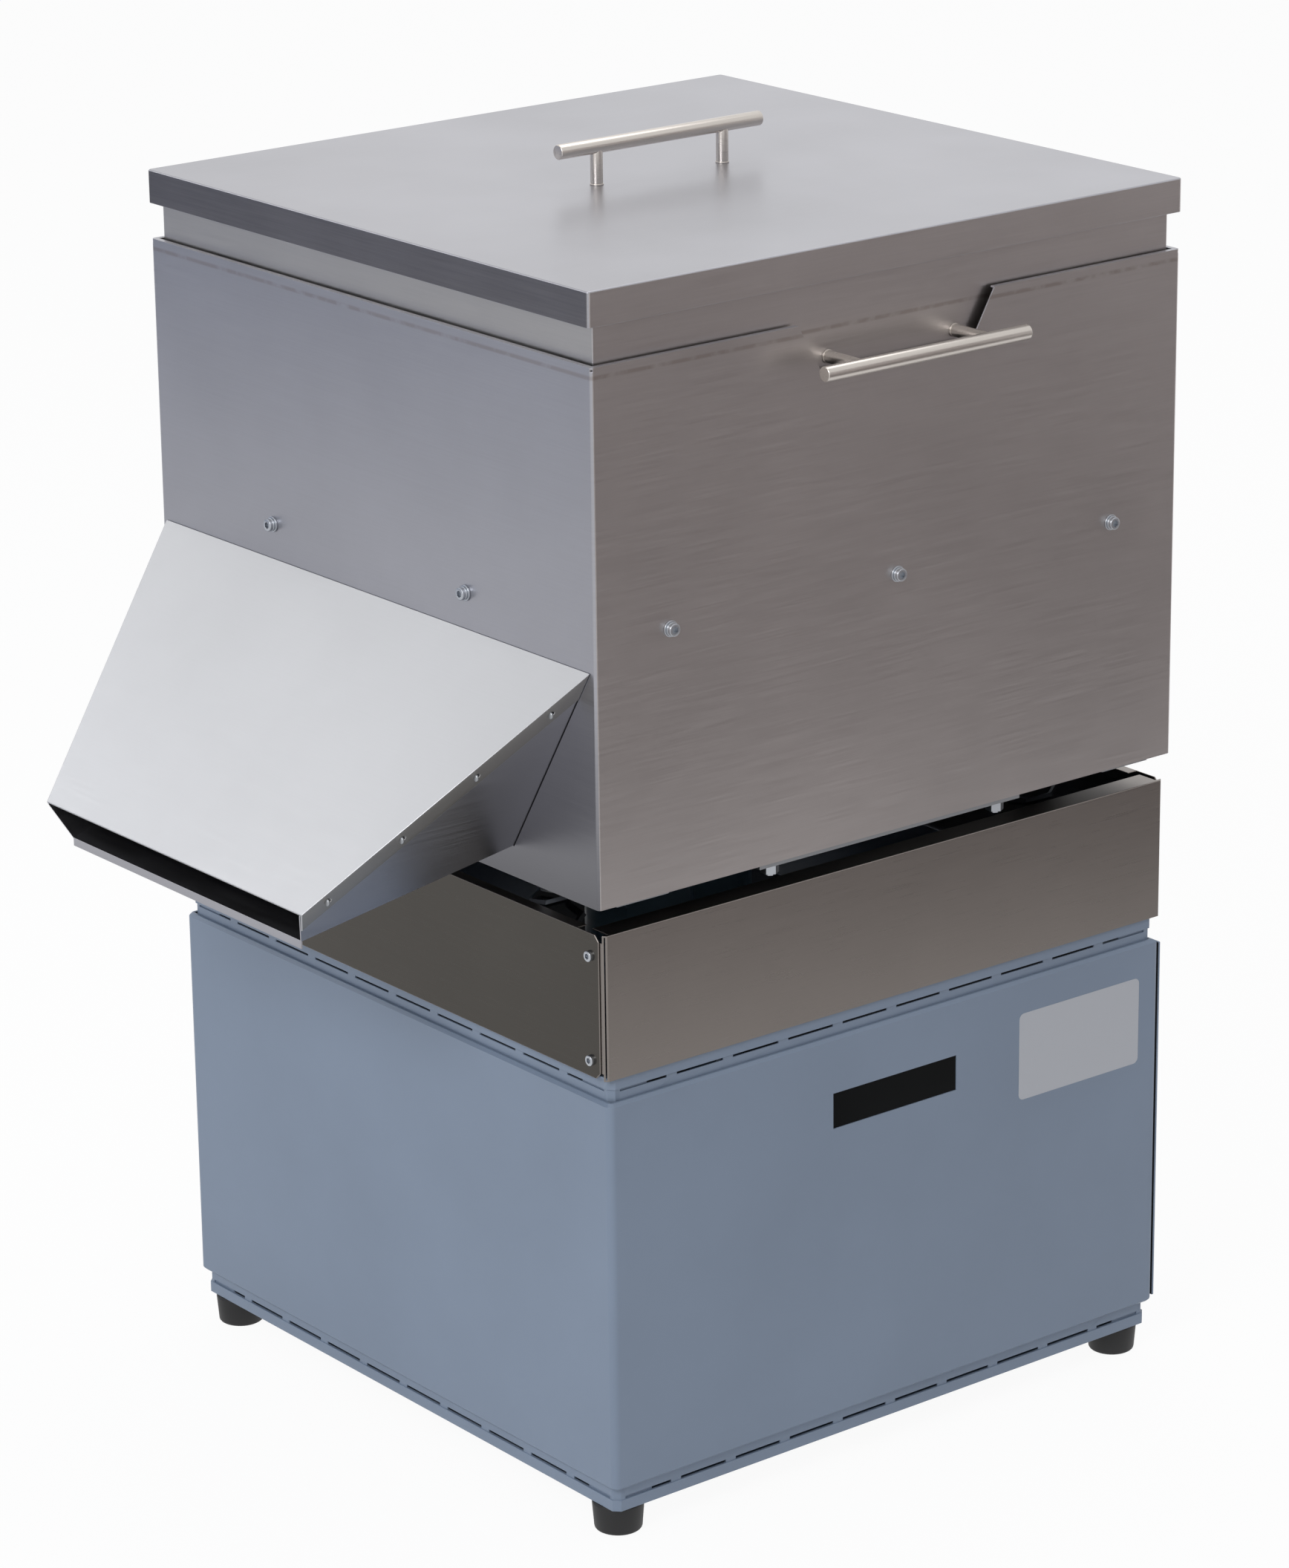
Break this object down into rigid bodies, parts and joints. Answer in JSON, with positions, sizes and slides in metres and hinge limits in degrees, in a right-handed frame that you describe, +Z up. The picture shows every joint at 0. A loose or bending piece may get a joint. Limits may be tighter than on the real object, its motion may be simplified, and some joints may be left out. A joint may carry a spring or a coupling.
{
  "type": "flour sifting machine",
  "caption": "Floor-standing vibrating flour sifter: painted base, spring-mounted steel body with sloping chute, lift-out sieve hopper and lid.",
  "frame": {"origin": "on the floor under the middle of the whole outline, chute included; the machine's own middle line stands 0.089 m behind it at x 0", "axes": "+Z up, +X to the machine's right as seen from its front, +Y to its rear; the chute points to -Y"},
  "size_m": [0.656, 0.8022, 1.0435],
  "materials": {
    "black_rubber": "matte",
    "zinc_steel": "satin",
    "blue_grey_paint": "satin",
    "grey_plastic": "satin",
    "black_plastic": "satin",
    "green_plastic": "gloss",
    "red_plastic": "gloss",
    "stainless_panel": "polished",
    "stainless_sheet": "satin",
    "stainless_bar": "polished",
    "plated_steel": "satin",
    "spring_steel": "satin",
    "motor_iron": "satin",
    "motor_cap_paint": "satin",
    "bearing_steel": "polished",
    "laminated_iron": "matte"
  },
  "bodies": {
    "base": {"rubber_feet": "black_rubber", "foot_bolts": "zinc_steel", "foot_nuts": "zinc_steel", "base_bottom_frame": "blue_grey_paint", "base_top_frame": "blue_grey_paint", "base_corner_posts": "blue_grey_paint", "base_casing": "blue_grey_paint", "rear_cover": "blue_grey_paint", "rear_cover_screws": "zinc_steel", "starter_box": "grey_plastic", "cable_gland": "black_plastic", "gland_nut": "black_plastic", "frame_right_panel": "stainless_panel", "frame_left_panel": "stainless_panel", "frame_front_panel": "stainless_panel", "frame_rear_panel": "stainless_panel", "frame_screws": "zinc_steel", "spring_deck": "blue_grey_paint", "deck_bolts": "zinc_steel", "deck_nuts": "zinc_steel", "lower_spring_seats": "plated_steel", "suspension_springs": "spring_steel"},
    "sifting_body": {"upper_spring_seats": "plated_steel", "spring_beams": "plated_steel", "body_casing": "stainless_sheet", "flour_trough": "stainless_sheet", "chute_cover": "stainless_sheet", "chute_rivets": "zinc_steel", "sieve_ledges": "stainless_sheet", "ledge_screws": "zinc_steel", "ledge_nuts": "zinc_steel", "motor_plate": "plated_steel", "motor_plate_bolts": "zinc_steel", "motor_plate_nuts": "zinc_steel", "motor_housing": "motor_iron", "motor_end_shields": "motor_iron", "motor_bearings": "bearing_steel", "motor_caps": "motor_cap_paint", "motor_stator": "laminated_iron", "motor_terminal_box": "motor_iron", "motor_bolts": "zinc_steel", "motor_nuts": "zinc_steel"},
    "rotor": {"rotor_shaft": "bearing_steel", "rotor_core": "laminated_iron", "eccentric_weights": "motor_iron"},
    "sieve": {"sieve_rim": "stainless_sheet", "sieve_support_bars": "stainless_sheet", "sieve_mesh": "stainless_bar", "hopper_walls": "stainless_sheet", "right_handle": "stainless_bar", "left_handle": "stainless_bar", "side_handle_screws": "zinc_steel"},
    "lid": {"lid_shell": "stainless_sheet", "lid_handle": "stainless_bar", "lid_handle_screws": "zinc_steel"},
    "start_button": {"start_button": "green_plastic"},
    "stop_button": {"stop_button": "red_plastic"}
  },
  "joints": [
    {"name": "body_bounce", "type": "slide", "parent": "base", "child": "sifting_body", "axis": [0, 0, 1], "range_m": [-0.003, 0.005], "stiffness_N_per_m": 178000, "springref_m": 0.00282, "deforming": ["suspension_springs"]},
    {"name": "rotor_spin", "type": "hinge", "parent": "sifting_body", "child": "rotor", "pos_m": [0, 0.08912, 0.4686], "axis": [0, 0, 1], "continuous": true},
    {"name": "sieve_lift", "type": "slide", "parent": "sifting_body", "child": "sieve", "axis": [0, 0, 1], "range_m": [0, 0.3]},
    {"name": "lid_lift", "type": "slide", "parent": "sieve", "child": "lid", "axis": [0, 0, 1], "range_m": [0, 0.25]},
    {"name": "start_press", "type": "slide", "parent": "base", "child": "start_button", "axis": [0, -1, 0], "range_m": [0, 0.003], "stiffness_N_per_m": 300},
    {"name": "stop_press", "type": "slide", "parent": "base", "child": "stop_button", "axis": [0, -1, 0], "range_m": [0, 0.003], "stiffness_N_per_m": 300}
  ]
}
